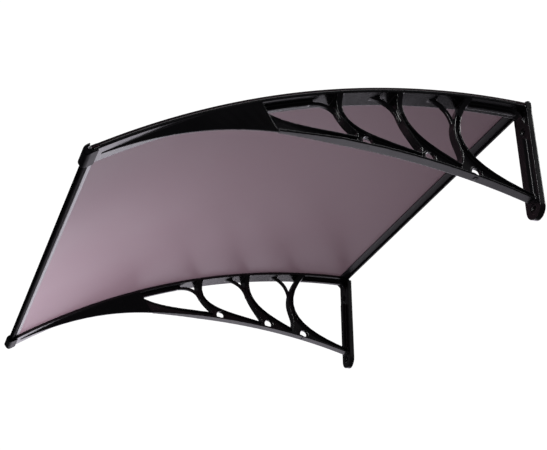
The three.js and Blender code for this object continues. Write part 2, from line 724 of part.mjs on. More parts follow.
const REAR_BAR_END = WIDTH / 2 - REAR_CAP_THICKNESS - SEAT_GAP;
const FRONT_BAR_END = WIDTH / 2 - FRONT_CAP_END - SEAT_GAP;

function rearBarGeometry() {
  return drilled(alongX(rearBarOutline(), -REAR_BAR_END, REAR_BAR_END));
}

function frontBarGeometry() {
  const channel = circlePoints(NOSE_CENTRE, CAP_SCREW_RADIUS + SCREW_GAP);
  return drilled(atFrontEdge(alongX(frontBarOutline(), -FRONT_BAR_END, FRONT_BAR_END, [channel])));
}

// Wall seal: a bulb on a stem that sits in the rear bar's slot
function sealGeometry() {
  const stem = SEAL_SLOT_WIDTH / 2 - SEAT_GAP;
  const low = REAR_TOP - SEAL_SLOT_DEPTH + SEAT_GAP;
  const seat = REAR_TOP + SEAT_GAP;
  const curve = new THREE.QuadraticBezierCurve(
    new THREE.Vector2(0, seat + SEAL_HEIGHT),
    new THREE.Vector2(-SEAL_DEPTH, seat + SEAL_HEIGHT),
    new THREE.Vector2(-SEAL_DEPTH, seat),
  );
  const outline = [
    new THREE.Vector2(0, seat),
    ...curve.getPoints(CURVE_STEPS),
    new THREE.Vector2(SEAL_SLOT_CENTRE - stem, seat),
    new THREE.Vector2(SEAL_SLOT_CENTRE - stem, low),
    new THREE.Vector2(SEAL_SLOT_CENTRE + stem, low),
    new THREE.Vector2(SEAL_SLOT_CENTRE + stem, seat),
  ];
  return alongX(outline, -REAR_BAR_END, REAR_BAR_END);
}

// Front cap: a sleeve around the front bar's end and the bracket's tip, drawn for the +X end
function frontCapGeometry() {
  const outside = WIDTH / 2;
  const inside = outside - FRONT_CAP_LENGTH;
  const barEnd = FRONT_BAR_END + SEAT_GAP;
  const roomTop = SHEET_TOP + LIP_OUTER + SEAT_GAP;
  const roomBottom = -FLANGE_BOTTOM - SEAT_GAP;
  const top = roomTop + FRONT_CAP_WALL;
  const bottom = roomBottom - FRONT_CAP_WALL;
  const outline = new THREE.Shape();
  outline.moveTo(FRONT_CAP_BOTTOM_REACH, bottom);
  outline.lineTo(FRONT_CAP_BOTTOM_REACH, roomTop);
  outline.lineTo(FRONT_CAP_TOP_REACH, roomTop);
  outline.lineTo(FRONT_CAP_TOP_REACH, top);
  outline.lineTo(-FRONT_CAP_NOSE + FRONT_CAP_ROUND, top);
  outline.quadraticCurveTo(-FRONT_CAP_NOSE, top, -FRONT_CAP_NOSE, top - FRONT_CAP_ROUND);
  outline.quadraticCurveTo(-FRONT_CAP_NOSE, bottom, -FRONT_CAP_NOSE + FRONT_CAP_ROUND, bottom);
  const body = toSolid(alongX(outline.getPoints(CURVE_STEPS), inside, outside));

  const from = inside - OVERSHOOT;
  const beyond = outside + OVERSHOOT;
  const noseRoom = alongX(circlePoints(NOSE_CENTRE, NOSE_RADIUS + SEAT_GAP), from, barEnd);
  const edgeRoom = alongX(box2(-2 * EDGE_GAP, roomBottom, FLANGE_WIDTH, roomTop), from, beyond);
  const lipRoom = alongX(box2(NOSE_CENTRE.x, -LIP_OUTER - SEAT_GAP, 0, roomTop), from, barEnd);
  const screwHole = alongX(circlePoints(NOSE_CENTRE, CAP_SCREW_RADIUS + SCREW_GAP), inside, beyond);
  const headRoom = alongX(
    circlePoints(NOSE_CENTRE, CAP_SCREW_HEAD_RADIUS + SEAT_GAP),
    outside - CAP_SCREW_HEAD_HEIGHT,
    beyond,
  );
  const rooms = join(...[noseRoom, edgeRoom, lipRoom, screwHole, headRoom].map(toSolid));

  const front = -FRONT_CAP_NOSE - OVERSHOOT;
  const corner = FRONT_CAP_CORNER;
  const plan = new THREE.Shape();
  plan.moveTo(from, FLANGE_WIDTH);
  plan.lineTo(from, front);
  plan.lineTo(outside - corner, front);
  plan.absarc(outside - corner, front + corner, corner, -Math.PI / 2, 0, false);
  plan.lineTo(outside, FLANGE_WIDTH);
  const planSolid = toSolid(alongZ(plan.getPoints(CURVE_STEPS), 2 * bottom, 2 * top));
  return toGeometry(body.subtract(rooms).intersect(planSolid));
}

function frontCapScrew() {
  const seat = WIDTH / 2 - CAP_SCREW_HEAD_HEIGHT + SEAT_GAP;
  return screwGeometry(CAP_SCREW, CAP_SCREW_LENGTH)
    .rotateY(Math.PI / 2)
    .translate(seat, NOSE_CENTRE.x, NOSE_CENTRE.y);
}

// Rear cap: a plate over the rear bar's end with a spigot behind its leaf, drawn for the +X end
function rearCapGeometry() {
  const outside = WIDTH / 2;
  const leafBack = -REAR_BAR_DEPTH + REAR_LEAF + SEAT_GAP;
  const plate = toSolid(alongX(
    box2(-REAR_BAR_DEPTH, REAR_LEAF_BOTTOM, 0, REAR_TOP), outside - REAR_CAP_THICKNESS, outside,
  ));
  const spigot = toSolid(alongX(
    box2(leafBack, REAR_LEAF_BOTTOM, -SEAT_GAP, -REAR_TOP - SEAT_GAP),
    (BRACKET_SPACING + TONGUE_WIDTH) / 2 + SPIGOT_GAP,
    outside - REAR_CAP_THICKNESS / 2,
  ));
  return toGeometry(plate.add(spigot));
}

// Copy for the -X end, with its faces turned the right way round again
function mirrored(geometry) {
  const plain = geometry.index ? geometry.toNonIndexed() : geometry.clone();
  plain.scale(-1, 1, 1);
  const position = plain.attributes.position;
  const swap = new THREE.Vector3();
  const keep = new THREE.Vector3();
  for (let i = 0; i < position.count; i += 3) {
    swap.fromBufferAttribute(position, i + 1);
    keep.fromBufferAttribute(position, i + 2);
    position.setXYZ(i + 1, keep.x, keep.y, keep.z);
    position.setXYZ(i + 2, swap.x, swap.y, swap.z);
  }
  plain.computeVertexNormals();
  return plain;
}

// Assembly

const canopy = new THREE.Group();

function place(name, geometry, material) {
  const mesh = new THREE.Mesh(geometry, material.clone());
  mesh.name = name;
  canopy.add(mesh);
  return mesh;
}

place('roof_sheet', sheetGeometry(), tintedSheet);
place('front_bar', frontBarGeometry(), barAluminium);
place('rear_bar', rearBarGeometry(), barAluminium);
place('wall_seal', sealGeometry(), sealRubber);

const SIDES = [['right', 1], ['left', -1]];
for (const [side, sign] of SIDES) {
  const x = (sign * BRACKET_SPACING) / 2;
  place(`${side}_bracket`, toGeometry(bracketSolid()), bracketPlastic).position.x = x;

  const ends = [
    ['front_cap', atFrontEdge(frontCapGeometry()), capPlastic],
    ['front_cap_screw', atFrontEdge(frontCapScrew()), screwSteel],
    ['rear_cap', rearCapGeometry(), capPlastic],
  ];
  for (const [name, geometry, material] of ends) {
    place(`${side}_${name}`, sign > 0 ? geometry : mirrored(geometry), material);
  }

  SHEET_SCREWS_FROM_WALL.forEach((fromWall, i) => {
    const washer = onRoof(washerGeometry(), x, fromWall, SHEET_TOP + SEAT_GAP);
    const grip = SHEET_HEAD_SEAT + FLANGE_BOTTOM;
    const screw = onRoof(screwGeometry(SHEET_SCREW, grip), x, fromWall, SHEET_HEAD_SEAT);
    place(`${side}_sheet_washer_${i + 1}`, washer, sealRubber);
    place(`${side}_sheet_screw_${i + 1}`, screw, screwSteel);
  });
  ['rear', 'front'].forEach((end, i) => {
    const grip = BAR_HEAD_SEAT + FLANGE_BOTTOM;
    const screw = onRoof(screwGeometry(SHEET_SCREW, grip), x, BAR_SCREWS_FROM_WALL[i], BAR_HEAD_SEAT);
    place(`${side}_${end}_bar_screw`, screw, screwSteel);
  });
}

export default canopy;
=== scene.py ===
"""Door canopy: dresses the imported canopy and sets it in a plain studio."""

import logging
import math
from contextlib import contextmanager
from dataclasses import dataclass, field
from enum import Enum
from typing import Callable, Iterator

import bmesh
import bpy
from mathutils import Matrix, Vector


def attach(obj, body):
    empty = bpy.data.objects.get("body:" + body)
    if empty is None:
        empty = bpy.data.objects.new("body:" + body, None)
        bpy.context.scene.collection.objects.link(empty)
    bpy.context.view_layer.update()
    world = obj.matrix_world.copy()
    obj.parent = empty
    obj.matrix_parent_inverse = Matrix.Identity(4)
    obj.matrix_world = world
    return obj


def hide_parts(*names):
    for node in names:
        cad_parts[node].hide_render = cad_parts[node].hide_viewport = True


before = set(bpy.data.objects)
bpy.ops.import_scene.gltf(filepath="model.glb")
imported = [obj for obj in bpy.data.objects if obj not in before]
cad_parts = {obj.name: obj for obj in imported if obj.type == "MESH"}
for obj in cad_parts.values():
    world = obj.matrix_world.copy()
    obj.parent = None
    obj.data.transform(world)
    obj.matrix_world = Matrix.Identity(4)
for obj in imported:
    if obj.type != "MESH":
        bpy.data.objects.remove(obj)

LOG = logging.getLogger("canopy")
ROOT_BODY = "root"
Colour = tuple[float, float, float]
Triple = tuple[float, float, float]

# Where noise values usually begin and end.
NOISE_LOW, NOISE_HIGH = 0.3, 0.7
# Cosine beyond which a face counts as looking straight along a direction.
STRAIGHT = 0.99
# Room left for rounding when a place is compared.
SLACK = 1.01
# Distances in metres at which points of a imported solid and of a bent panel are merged.
SAME_POINT, SAME_SEAM = 0.000002, 0.00001
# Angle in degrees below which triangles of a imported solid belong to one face.
SAME_FACE = 0.4
# How far one easing pass moves a point towards its neighbours' middle.
EASING = 0.5
# How much the larger faces lead a piece's shading.
FLAT_FACE_WEIGHT = 80
QUAD_CORNERS = 4


class Side(Enum):
    """The two ends of the canopy, by the sign of X."""

    RIGHT = 1
    LEFT = -1

    @property
    def word(self) -> str:
        """Name prefix of the pieces at this end."""
        return self.name.lower()


class Slot(Enum):
    """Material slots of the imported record."""

    SHEET = "tinted_sheet"
    BRACKET = "bracket_plastic"
    BAR = "bar_aluminium"
    CAP = "cap_plastic"
    RUBBER = "seal_rubber"
    STEEL = "screw_steel"


# Node trees


class Tree:
    """Shorthand for laying out one material's nodes."""

    def __init__(self, material: bpy.types.Material) -> None:
        """Clears the material's tree and adds its shader.

        Args:
            material: The material whose nodes are laid out.
        """
        material.use_nodes = True
        self.nodes = material.node_tree.nodes
        self.links = material.node_tree.links
        self.nodes.clear()
        self.output = self.nodes.new("ShaderNodeOutputMaterial")
        self.shader = self.nodes.new("ShaderNodeBsdfPrincipled")
        self.links.new(self.shader.outputs["BSDF"], self.output.inputs["Surface"])
        self.place = self.nodes.new("ShaderNodeTexCoord").outputs["Object"]

    def put(self, **values: object) -> None:
        """Sets shader sockets that are the same all over.

        Args:
            values: Socket names, with _ for a space, and their values.
        """
        for name, value in values.items():
            self.shader.inputs[name.replace("_", " ")].default_value = value

    def stretched(self, scale: Triple) -> bpy.types.NodeSocket:
        """Object coordinates scaled by axis.

        Args:
            scale: Scale along X, Y and Z.

        Returns:
            The scaled vector.
        """
        mapping = self.nodes.new("ShaderNodeMapping")
        mapping.inputs["Scale"].default_value = scale
        self.links.new(self.place, mapping.inputs["Vector"])
        return mapping.outputs["Vector"]

    def noise(self, scale: float, detail: float,
              vector: bpy.types.NodeSocket | None = None) -> bpy.types.NodeSocket:
        """A noise pattern.

        Args:
            scale: Grains per metre.
            detail: Octaves.
            vector: Coordinates, the object's own by default.

        Returns:
            The noise value.
        """
        node = self.nodes.new("ShaderNodeTexNoise")
        node.inputs["Scale"].default_value = scale
        node.inputs["Detail"].default_value = detail
        self.links.new(vector or self.place, node.inputs["Vector"])
        return node.outputs["Fac"]

    def spread(self, value: bpy.types.NodeSocket, low: float, high: float) -> bpy.types.NodeSocket:
        """Spreads a noise value over a range.

        Args:
            value: The noise.
            low: Result at the noise's usual lowest.
            high: Result at its usual highest.

        Returns:
            The mapped value.
        """
        node = self.nodes.new("ShaderNodeMapRange")
        node.inputs["From Min"].default_value = NOISE_LOW
        node.inputs["From Max"].default_value = NOISE_HIGH
        node.inputs["To Min"].default_value = low
        node.inputs["To Max"].default_value = high
        self.links.new(value, node.inputs["Value"])
        return node.outputs["Result"]

    def ramp(self, value: bpy.types.NodeSocket, low: Colour, high: Colour) -> bpy.types.NodeSocket:
        """Colours a noise value from one colour to another.

        Args:
            value: The noise.
            low: Colour of the low patches.
            high: Colour of the high patches.

        Returns:
            The colour.
        """
        node = self.nodes.new("ShaderNodeValToRGB")
        node.color_ramp.elements[0].position = NOISE_LOW
        node.color_ramp.elements[1].position = NOISE_HIGH
        node.color_ramp.elements[0].color = (*low, 1.0)
        node.color_ramp.elements[1].color = (*high, 1.0)
        self.links.new(value, node.inputs["Fac"])
        return node.outputs["Color"]

    def bump(self, value: bpy.types.NodeSocket, depth: float) -> bpy.types.NodeSocket:
        """Turns a height into a normal.

        Args:
            value: Height from 0 to 1.
            depth: What a height of 1 is, in metres.

        Returns:
            The normal.
        """
        node = self.nodes.new("ShaderNodeBump")
        node.inputs["Distance"].default_value = depth
        self.links.new(value, node.inputs["Height"])
        return node.outputs["Normal"]

    def feed(self, **values: bpy.types.NodeSocket) -> None:
        """Links patterns to the shader.

        Args:
            values: Socket names, with _ for a space, and what feeds them.
        """
        for name, socket in values.items():
            self.links.new(socket, self.shader.inputs[name.replace("_", " ")])


# Finishes


@dataclass(frozen=True)
class MouldedPlastic:
    """Black moulded plastic with a fine spark-eroded grain."""

    name: str
    dark: Colour = (0.0035, 0.0035, 0.0040)
    light: Colour = (0.0065, 0.0065, 0.0072)
    smooth: float = 0.17
    rough: float = 0.27
    grains_per_metre: float = 1600.0
    grain_depth: float = 0.00002
    grain_detail: float = 2.0
    flow_per_metre: float = 14.0
    flow_detail: float = 4.0
    gloss: float = 0.4
    index: float = 1.5

    def material(self) -> bpy.types.Material:
        """Lays out the finish.

        Returns:
            The new material.
        """
        made = bpy.data.materials.new(self.name)
        tree = Tree(made)
        flow = tree.noise(self.flow_per_metre, self.flow_detail)
        grain = tree.noise(self.grains_per_metre, self.grain_detail)
        tree.feed(Base_Color=tree.ramp(flow, self.dark, self.light),
                  Roughness=tree.spread(flow, self.smooth, self.rough),
                  Normal=tree.bump(grain, self.grain_depth))
        tree.put(IOR=self.index, Specular_IOR_Level=self.gloss)
        return made


@dataclass(frozen=True)
class AnodisedBar:
    """Satin black anodised aluminium with die lines along the bar."""

    name: str = "black_anodised"
    dark: Colour = (0.006, 0.006, 0.0068)
    light: Colour = (0.014, 0.014, 0.0155)
    smooth: float = 0.20
    rough: float = 0.32
    lines_per_metre: Triple = (2.0, 1500.0, 1500.0)
    line_detail: float = 3.0
    line_depth: float = 0.000012
    index: float = 1.77

    def material(self) -> bpy.types.Material:
        """Lays out the finish.

        Returns:
            The new material.
        """
        made = bpy.data.materials.new(self.name)
        tree = Tree(made)
        lines = tree.noise(1.0, self.line_detail, tree.stretched(self.lines_per_metre))
        tree.feed(Base_Color=tree.ramp(lines, self.dark, self.light),
                  Roughness=tree.spread(lines, self.smooth, self.rough),
                  Normal=tree.bump(lines, self.line_depth))
        tree.put(IOR=self.index)
        return made


@dataclass(frozen=True)
class TintedPolycarbonate:
    """Clear bronze polycarbonate sheet, faintly wavy from the extruder's rolls."""

    name: str = "tinted_polycarbonate"
    deep: Colour = (0.200, 0.122, 0.136)
    pale: Colour = (0.216, 0.133, 0.149)
    smooth: float = 0.44
    rough: float = 0.52
    clouds_per_metre: float = 5.0
    cloud_detail: float = 2.0
    waves_per_metre: Triple = (7.0, 3.0, 3.0)
    wave_detail: float = 1.0
    wave_depth: float = 0.0004
    see_through: float = 0.45
    gloss: float = 0.15
    index: float = 1.58

    def material(self) -> bpy.types.Material:
        """Lays out the finish.

        Returns:
            The new material.
        """
        made = bpy.data.materials.new(self.name)
        tree = Tree(made)
        clouds = tree.noise(self.clouds_per_metre, self.cloud_detail)
        waves = tree.noise(1.0, self.wave_detail, tree.stretched(self.waves_per_metre))
        tree.feed(Base_Color=tree.ramp(clouds, self.deep, self.pale),
                  Roughness=tree.spread(clouds, self.smooth, self.rough),
                  Normal=tree.bump(waves, self.wave_depth))
        tree.put(IOR=self.index, Transmission_Weight=self.see_through, Specular_IOR_Level=self.gloss)
        return made


@dataclass(frozen=True)
class SealRubber:
    """Matt black rubber with a fine bloom."""

    name: str = "black_rubber"
    dark: Colour = (0.009, 0.009, 0.009)
    bloom: Colour = (0.020, 0.020, 0.021)
    smooth: float = 0.62
    rough: float = 0.85
    speckles_per_metre: float = 420.0
    speckle_detail: float = 4.0
    speckle_depth: float = 0.00006

    def material(self) -> bpy.types.Material:
        """Lays out the finish.

        Returns:
            The new material.
        """
        made = bpy.data.materials.new(self.name)
        tree = Tree(made)
        speckle = tree.noise(self.speckles_per_metre, self.speckle_detail)
        tree.feed(Base_Color=tree.ramp(speckle, self.dark, self.bloom),
                  Roughness=tree.spread(speckle, self.smooth, self.rough),
                  Normal=tree.bump(speckle, self.speckle_depth))
        return made


@dataclass(frozen=True)
class ZincSteel:
    """Zinc-plated screw steel with a crystalline mottle."""

    name: str = "zinc_steel"
    dark: Colour = (0.36, 0.365, 0.38)
    light: Colour = (0.60, 0.60, 0.60)
    smooth: float = 0.24
    rough: float = 0.42
    mottle_per_metre: float = 900.0
    mottle_detail: float = 4.0
    mottle_depth: float = 0.00001

    def material(self) -> bpy.types.Material:
        """Lays out the finish.

        Returns:
            The new material.
        """
        made = bpy.data.materials.new(self.name)
        tree = Tree(made)
        mottle = tree.noise(self.mottle_per_metre, self.mottle_detail)
        tree.feed(Base_Color=tree.ramp(mottle, self.dark, self.light),
                  Roughness=tree.spread(mottle, self.smooth, self.rough),
                  Normal=tree.bump(mottle, self.mottle_depth))
        tree.put(Metallic=1.0)
        return made


@dataclass(frozen=True)
class PaleFloor:
    """Pale matt studio floor."""

    name: str = "pale_floor"
    low: Colour = (0.88, 0.88, 0.88)
    high: Colour = (0.92, 0.92, 0.92)
    patches_per_metre: float = 1.5
    patch_detail: float = 2.0
    roughness: float = 0.9

    def material(self) -> bpy.types.Material:
        """Lays out the finish.

        Returns:
            The new material.
        """
        made = bpy.data.materials.new(self.name)
        tree = Tree(made)
        patches = tree.noise(self.patches_per_metre, self.patch_detail)
        tree.feed(Base_Color=tree.ramp(patches, self.low, self.high))
        tree.put(Roughness=self.roughness, Specular_IOR_Level=0.0)
        return made


# Bench work shared by the pieces


def deselect() -> None:
    """Leaves nothing selected."""
    bpy.ops.object.select_all(action="DESELECT")


def take(piece: bpy.types.Object) -> None:
    """Makes one piece the only selected and active one.

    Args:
        piece: The piece.
    """
    deselect()
    piece.select_set(True)
    bpy.context.view_layer.objects.active = piece


@contextmanager
def editing(piece: bpy.types.Object) -> Iterator[None]:
    """Edit mode on one piece, with all of it selected at first.

    Args:
        piece: The piece.

    Yields:
        Nothing, once the piece is in edit mode.
    """
    take(piece)
    bpy.ops.object.mode_set(mode="EDIT")
    bpy.ops.mesh.select_all(action="SELECT")
    yield
    bpy.ops.object.mode_set(mode="OBJECT")


def pick(piece: bpy.types.Object, chosen: Callable[[bmesh.types.BMFace], bool]) -> None:
    """Selects faces of the piece that is being edited.

    Args:
        piece: The piece in edit mode.
        chosen: Tells whether a face is selected.
    """
    bpy.ops.mesh.select_mode(type="FACE")
    bpy.ops.mesh.select_all(action="DESELECT")
    mesh = bmesh.from_edit_mesh(piece.data)
    for face in mesh.faces:
        face.select_set(chosen(face))
    bmesh.update_edit_mesh(piece.data)


def faces_up(face: bmesh.types.BMFace) -> bool:
    """Whether a face looks straight up."""
    return face.normal.z > STRAIGHT


def faces_down(face: bmesh.types.BMFace) -> bool:
    """Whether a face looks straight down."""
    return face.normal.z < -STRAIGHT


def new_cylinder(name: str, radius: float, low: float, high: float, sides: int) -> bpy.types.Object:
    """Adds an upright cylinder whose place is in its mesh.

    Args:
        name: Its name.
        radius: Its radius.
        low: Height of its foot.
        high: Height of its top.
        sides: Facets around it.

    Returns:
        The cylinder.
    """
    deselect()
    bpy.ops.mesh.primitive_cylinder_add(vertices=sides, radius=radius, depth=high - low)
    piece = bpy.context.object
    piece.name = name
    piece.data.transform(Matrix.Translation((0.0, 0.0, (low + high) / 2)))
    return piece


def placed_copy(model: bpy.types.Object, name: str, place: Matrix) -> bpy.types.Object:
    """Copies a model, with a mesh of its own, to a place.

    Args:
        model: The piece that is copied.
        name: Name of the copy.
        place: Where it goes.

    Returns:
        The copy.
    """
    mesh = model.data.copy()
    mesh.transform(place)
    piece = bpy.data.objects.new(name, mesh)
    bpy.context.scene.collection.objects.link(piece)
    return piece


def mirror_copy(model: bpy.types.Object, name: str) -> bpy.types.Object:
    """Copies a piece to the other end of the canopy.

    Args:
        model: The piece that is copied.
        name: Name of the copy.

    Returns:
        The copy, with its faces turned outwards again.
    """
    piece = placed_copy(model, name, Matrix.Scale(-1.0, 4, (1.0, 0.0, 0.0)))
    with editing(piece):
        bpy.ops.mesh.normals_make_consistent(inside=False)
    return piece


def discard(piece: bpy.types.Object) -> None:
    """Removes a piece that was only a tool or a model."""
    bpy.data.objects.remove(piece, do_unlink=True)


def apply_modifier(piece: bpy.types.Object, kind: str, **settings: object) -> None:
    """Adds a modifier and applies it.

    Args:
        piece: The piece it works on.
        kind: Blender's name of the modifier.
        settings: Its settings.
    """
    take(piece)
    modifier = piece.modifiers.new(kind.lower(), kind)
    for name, value in settings.items():
        setattr(modifier, name, value)
    bpy.ops.object.modifier_apply(modifier=modifier.name)


def solid_copy(node: str, name: str) -> bpy.types.Object:
    """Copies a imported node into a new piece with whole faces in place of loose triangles.

    Args:
        node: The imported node.
        name: Name of the new piece.

    Returns:
        The new piece.
    """
    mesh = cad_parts[node].data.copy()
    mesh.materials.clear()
    piece = bpy.data.objects.new(name, mesh)
    bpy.context.scene.collection.objects.link(piece)
    with editing(piece):
        bpy.ops.mesh.remove_doubles(threshold=SAME_POINT)
        bpy.ops.mesh.dissolve_limited(angle_limit=math.radians(SAME_FACE))
    return piece


def moulded_copy(node: str, name: str, grid: float, passes: int, kept: float) -> bpy.types.Object:
    """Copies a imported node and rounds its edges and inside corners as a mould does.

    Args:
        node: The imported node.
        name: Name of the new piece.
        grid: Spacing in metres of the mesh that is eased.
        passes: How often it is eased.
        kept: Share of the faces that is kept afterwards.

    Returns:
        The new piece.
    """
    piece = solid_copy(node, name)
    apply_modifier(piece, "REMESH", mode="VOXEL", voxel_size=grid)
    apply_modifier(piece, "SMOOTH", factor=EASING, iterations=passes)
    apply_modifier(piece, "DECIMATE", ratio=kept)
    return piece


def soften(piece: bpy.types.Object, radius: float, segments: int = 2, corner: float = 34.0,
           smooth: float = 32.0) -> None:
    """Rounds a piece's edges and shades it.

    Args:
        piece: The piece.
        radius: Edge rounding in metres.
        segments: Facets across an edge.
        corner: Sharpest angle left alone, in degrees.
        smooth: Widest angle shaded smooth, in degrees.
    """
    apply_modifier(piece, "BEVEL", width=radius, segments=segments, limit_method="ANGLE",
                   angle_limit=math.radians(corner), use_clamp_overlap=True, miter_outer="MITER_ARC")
    shade(piece, smooth)


def shade(piece: bpy.types.Object, smooth: float = 32.0) -> None:
    """Shades a piece smooth, with its flat faces kept flat.

    Args:
        piece: The piece.
        smooth: Widest angle shaded smooth, in degrees.
    """
    take(piece)
    bpy.ops.object.shade_smooth_by_angle(angle=math.radians(smooth))
    apply_modifier(piece, "WEIGHTED_NORMAL", keep_sharp=True, weight=FLAT_FACE_WEIGHT)


def group(name: str, *pieces: bpy.types.Object) -> bpy.types.Collection:
    """Lists pieces that one light is meant for.

    Args:
        name: Name of the group.
        pieces: What it holds.

    Returns:
        The group, outside the scene's own collections.
    """
    made = bpy.data.collections.new(name)
    for piece in pieces:
        made.objects.link(piece)
    return made


def dress(piece: bpy.types.Object, material: bpy.types.Material, slot: Slot, *nodes: str) -> None:
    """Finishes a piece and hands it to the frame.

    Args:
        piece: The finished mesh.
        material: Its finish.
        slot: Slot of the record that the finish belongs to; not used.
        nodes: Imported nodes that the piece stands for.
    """
    piece.data.materials.clear()
    piece.data.materials.append(material)
    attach(piece, ROOT_BODY)
    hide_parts(*nodes)
    LOG.info("%s: %d faces, for %s", piece.name, len(piece.data.polygons), ", ".join(nodes))


# The canopy's sub-assemblies


@dataclass(frozen=True)
class RoofArc:
    """The sheet's underside: an arc about an axis along X."""

    radius: float = 1.486
    centre_y: float = 0.04564
    centre_z: float = -1.48905

    def angle(self, from_wall: float) -> float:
        """Slope of the roof at a distance from the wall, in radians."""
        return math.asin((self.centre_y + from_wall) / self.radius)

    def frame_at(self, x: float, from_wall: float, offset: float = 0.0) -> Matrix:
        """Frame that stands on the roof, with Z along its normal.

        Args:
            x: Place along the wall.
            from_wall: Distance from the wall.
            offset: Height above the sheet's underside.

        Returns:
            The frame's matrix.
        """
        angle = self.angle(from_wall)
        drop = math.sqrt(self.radius ** 2 - (self.centre_y + from_wall) ** 2)
        foot = Vector((x, -from_wall, self.centre_z + drop))
        turn = Matrix.Rotation(angle, 4, "X")
        return Matrix.Translation(foot) @ turn @ Matrix.Translation((0.0, 0.0, offset))


@dataclass(frozen=True)
class ScrewPlan:
    """Where the canopy's screws stand, and their sizes."""

    bracket_x: float = 0.416
    sheet_rows: tuple[float, ...] = (0.110, 0.31333, 0.51667, 0.720)
    rear_row: float = 0.022
    front_row: float = 0.83278
    washer_seat: float = 0.0033
    sheet_seat: float = 0.0056
    bar_seat: float = 0.0058
    shank_radius: float = 0.002
    hole_radius: float = 0.0023
    flange_bottom: float = 0.0063

    def rows(self) -> tuple[float, ...]:
        """Distances from the wall of all screws that pass through the roof."""
        return (*self.sheet_rows, self.rear_row, self.front_row)


@dataclass
class RoofSheet:
    """The arched sheet, bent from one flat panel and drilled for its screws."""

    arc: RoofArc
    plan: ScrewPlan
    width: float = 0.878
    thickness: float = 0.003
    rear_edge: float = 0.013
    front_edge: float = 0.838
    bends: int = 120
    edge_radius: float = 0.0005
    hole_sides: int = 24
    side_edge_facing: float = 0.5
    side_edge_start: float = 0.49

    def bent_panel(self) -> bpy.types.Object:
        """Spins the panel's rear edge about the roof's axis.

        Returns:
            The sheet without its holes.
        """
        start = self.arc.angle(self.rear_edge)
        sweep = self.arc.angle(self.front_edge) - start
        deselect()
        bpy.ops.mesh.primitive_plane_add(size=1.0)
        piece = bpy.context.object
        piece.name = "roof_panel"
        with editing(piece):
            bpy.ops.transform.resize(value=(self.width, self.thickness, 1.0))
            bpy.ops.transform.translate(value=(0.0, self.arc.radius + self.thickness / 2, 0.0))
        middle = Matrix.Translation((0.0, self.arc.centre_y, self.arc.centre_z))
        upright = Matrix.Rotation(math.pi / 2 + start, 4, "X")
        piece.data.transform(middle @ upright)
        with editing(piece):
            bpy.ops.mesh.spin(steps=self.bends, angle=-sweep, axis=(1.0, 0.0, 0.0),
                              center=(0.0, self.arc.centre_y, self.arc.centre_z))
        with editing(piece):
            bpy.ops.mesh.remove_doubles(threshold=SAME_SEAM)
            bpy.ops.mesh.normals_make_consistent(inside=False)
        soften(piece, self.edge_radius)
        return piece

    def drill(self, piece: bpy.types.Object) -> None:
        """Drills the screw holes.

        Args:
            piece: The bent panel.
        """
        pin = new_cylinder("drill", self.plan.hole_radius, -self.thickness, 2 * self.thickness,
                           self.hole_sides)
        bits = [placed_copy(pin, "drill_bit", self.arc.frame_at(side.value * self.plan.bracket_x, row))
                for side in Side for row in self.plan.rows()]
        discard(pin)
        for bit in bits:
            apply_modifier(piece, "BOOLEAN", object=bit, operation="DIFFERENCE", solver="EXACT")
            discard(bit)
        shade(piece)

    def make(self, finish: bpy.types.Material, edge_finish: bpy.types.Material) -> bpy.types.Collection:
        """Builds and dresses the sheet, whose cut side edges look dark.

        Args:
            finish: Finish of the two broad faces.
            edge_finish: Finish of the side edges.

        Returns:
            The sheet, as a group.
        """
        piece = self.bent_panel()
        self.drill(piece)
        dress(piece, finish, Slot.SHEET, "roof_sheet")
        piece.data.materials.append(edge_finish)
        for face in piece.data.polygons:
            sideways = abs(face.normal.x) > self.side_edge_facing
            outermost = abs(face.center.x) > self.side_edge_start * self.width
            face.material_index = int(sideways and outermost)
        return group("roof", piece)


@dataclass
class Brackets:
    """The two moulded wall brackets: one moulding, eased all over, and its mirror copy."""

    grid: float = 0.0009
    easing_passes: int = 4
    faces_kept: float = 0.16
    shading_angle: float = 40.0

    def make(self, finish: bpy.types.Material) -> bpy.types.Collection:
        """Builds and dresses both brackets.

        Args:
            finish: Their finish.

        Returns:
            The two brackets, as a group.
        """
        right = moulded_copy("right_bracket", "right_wall_bracket", self.grid, self.easing_passes,
                             self.faces_kept)
        left = mirror_copy(right, "left_wall_bracket")
        for piece, node in ((right, "right_bracket"), (left, "left_bracket")):
            shade(piece, self.shading_angle)
            dress(piece, finish, Slot.BRACKET, node)
        return group("brackets", right, left)


@dataclass
class Bars:
    """The front and rear bars and the wall seal."""

    arc: RoofArc
    edge_radius: float = 0.0004
    nose_end: float = 0.834

    def paint_nose_shade(self, bar: bpy.types.Object, finish: bpy.types.Material) -> None:
        """Gives the front bar's rounded nose, up to a straight line, a darker and nearly unreflective copy
        of the bar's finish: painted shade where the nose faces away from the light.

        Args:
            bar: The dressed front bar.
            finish: The nose's darker copy of the bar's finish, with the shade painted in.
        """
        line = self.arc.frame_at(0.0, self.nose_end)
        start, outwards = line.translation, -line.col[1].to_3d()
        with editing(bar):
            bpy.ops.mesh.bisect(plane_co=start, plane_no=outwards)
        bar.data.materials.append(finish)
        for face in bar.data.polygons:
            face.material_index = int((face.center - start).dot(outwards) > 0.0)

    def make(self, lip_finish: bpy.types.Material, nose_shade_finish: bpy.types.Material,
             rear_finish: bpy.types.Material, seal_finish: bpy.types.Material) -> None:
        """Builds and dresses the bars and the seal.

        Args:
            lip_finish: Finish of the front bar's lips.
            nose_shade_finish: Darker copy of the bar's finish for the front bar's nose, with painted shade.
            rear_finish: Finish of the rear bar.
            seal_finish: Finish of the wall seal.
        """
        made = {}
        for node, name, finish, slot in (("front_bar", "front_edge_bar", lip_finish, Slot.BAR),
                                         ("rear_bar", "wall_edge_bar", rear_finish, Slot.BAR),
                                         ("wall_seal", "wall_seal_strip", seal_finish, Slot.RUBBER)):
            made[node] = solid_copy(node, name)
            soften(made[node], self.edge_radius)
            dress(made[node], finish, slot, node)
        self.paint_nose_shade(made["front_bar"], nose_shade_finish)


